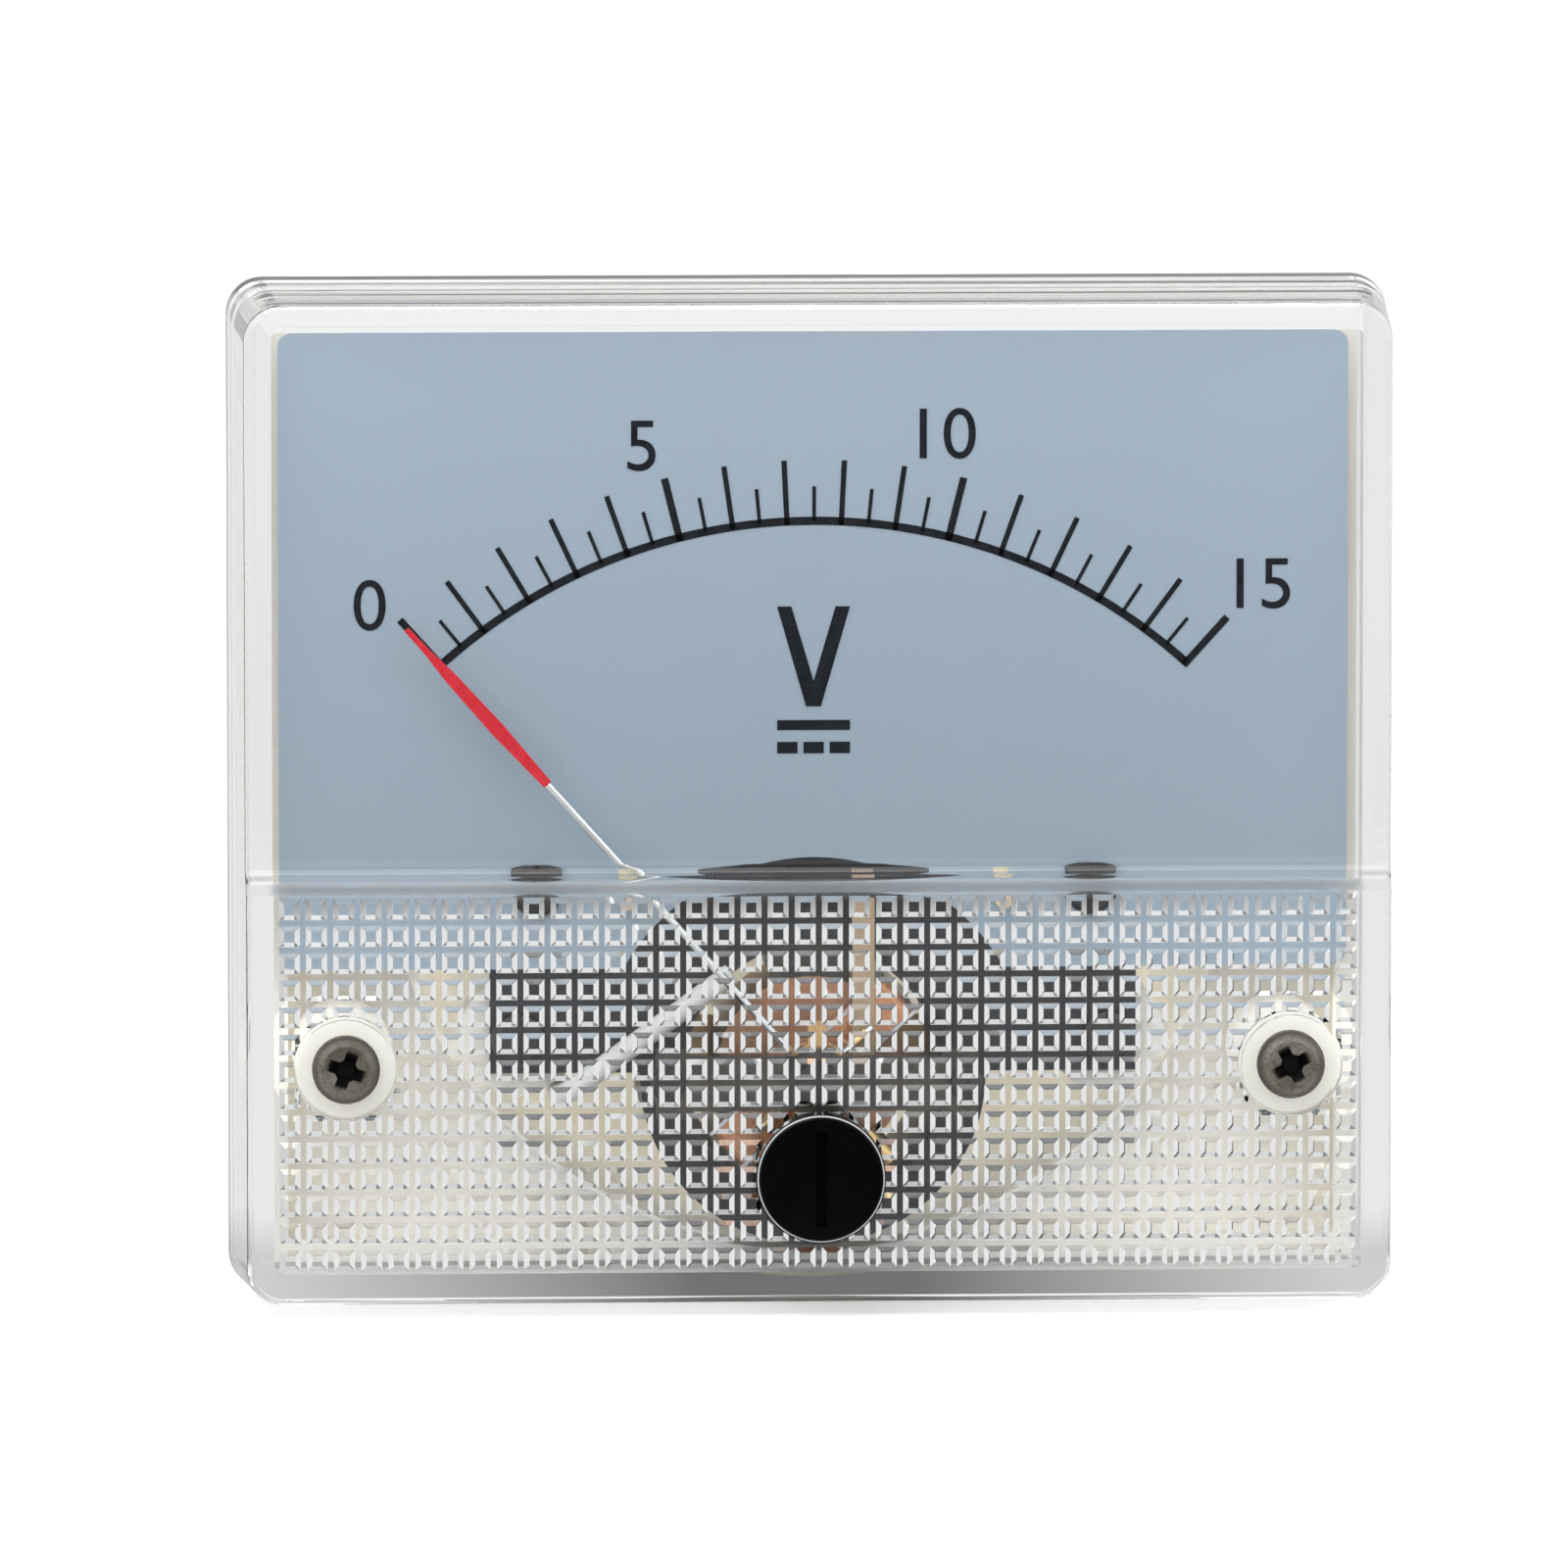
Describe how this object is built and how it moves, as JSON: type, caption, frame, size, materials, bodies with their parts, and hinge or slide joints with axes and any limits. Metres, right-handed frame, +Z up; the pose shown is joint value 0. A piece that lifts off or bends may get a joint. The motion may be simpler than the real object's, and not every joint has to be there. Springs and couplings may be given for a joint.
{
  "type": "analog panel meter",
  "caption": "Rectangular moving-coil panel voltmeter: clear front cover with a waffle-textured lower half, arc scale, red pointer, zero-adjust knob, round rear barrel with screw terminals.",
  "frame": {"origin": "centre of the rear barrel in the panel's front plane, where the flange seats", "axes": "-Y out of the dial towards the reader, +Y along the barrel towards the terminals, +Z up the dial, +X to the reader's right"},
  "size_m": [0.064, 0.0573, 0.056],
  "materials": {
    "clear_plastic": "polished",
    "white_plastic": "satin",
    "dial_face": "matte",
    "black_lacquer": "satin",
    "dark_iron": "satin",
    "magnet": "satin",
    "brass": "satin",
    "blackened_brass": "satin",
    "bronze": "satin",
    "copper": "gloss",
    "ruby": "polished",
    "aluminium": "satin",
    "silver_wire": "polished",
    "red_lacquer": "satin",
    "black_gloss": "gloss",
    "steel": "satin",
    "brown_steel": "satin",
    "zinc_steel": "satin",
    "nickel": "satin",
    "tinned": "satin",
    "beige_fibre": "matte",
    "beige_sleeve": "satin",
    "white_sleeve": "satin",
    "resistor_body": "satin"
  },
  "bodies": {
    "housing": {"base": "white_plastic", "core_holder": "blackened_brass", "core_magnet": "magnet", "cover_screw_left": "brown_steel", "cover_screw_right": "brown_steel", "dial_plate": "dial_face", "dial_screw_left": "brown_steel", "dial_screw_right": "brown_steel", "front_bridge": "blackened_brass", "front_bridge_screw_left": "steel", "front_bridge_screw_right": "steel", "front_cover": "clear_plastic", "front_hairspring": "bronze", "front_jewel": "ruby", "front_jewel_screw": "brass", "lead_strip": "beige_fibre", "lead_wire_front": "white_sleeve", "lead_wire_rear": "white_sleeve", "mounting_stud_left": "zinc_steel", "mounting_stud_right": "zinc_steel", "movement_frame": "black_lacquer", "movement_screw_left": "steel", "movement_screw_right": "steel", "rear_bridge": "brass", "rear_bridge_screw_left": "steel", "rear_bridge_screw_right": "steel", "rear_hairspring": "bronze", "rear_jewel": "ruby", "rear_jewel_screw": "brass", "series_resistor": "resistor_body", "solder_lug_left": "tinned", "solder_lug_right": "tinned", "stop_pin_left": "steel", "stop_pin_right": "steel", "stop_sleeve_left": "beige_sleeve", "stop_sleeve_right": "beige_sleeve", "terminal_nut_left": "nickel", "terminal_nut_right": "nickel", "terminal_stud_left": "nickel", "terminal_stud_right": "nickel", "terminal_washer_left": "nickel", "terminal_washer_right": "nickel", "yoke_ring": "dark_iron"},
    "moving_system": {"coil_former": "aluminium", "coil_winding": "copper", "front_staff": "brass", "rear_staff": "brass", "front_pivot": "steel", "rear_pivot": "steel", "pointer_arm": "silver_wire", "pointer_blade": "red_lacquer", "tail_weight": "brass", "side_weight_left": "brass", "side_weight_right": "brass"},
    "zero_knob": {"zero_knob": "black_gloss", "knob_retainer": "steel"},
    "zero_lever": {"zero_lever": "bronze"}
  },
  "joints": [
    {"name": "pointer_swing", "type": "hinge", "parent": "housing", "child": "moving_system", "pos_m": [0, 0, -0.0135], "axis": [0, 1, 0], "range_deg": [-1, 85], "stiffness_Nm_per_rad": 0.000004, "deforming": ["front_hairspring", "rear_hairspring"]},
    {"name": "zero_knob_turn", "type": "hinge", "parent": "housing", "child": "zero_knob", "pos_m": [0, 0, -0.0183], "axis": [0, 1, 0], "range_deg": [-60, 60]},
    {"name": "zero_lever_turn", "type": "hinge", "parent": "housing", "child": "zero_lever", "pos_m": [0, 0, -0.0135], "axis": [0, 1, 0], "range_deg": [-9.3, 9.3]}
  ],
  "couplings": [
    {"joint": "zero_lever_turn", "follows": "zero_knob_turn", "ratio": 0.1547}
  ]
}
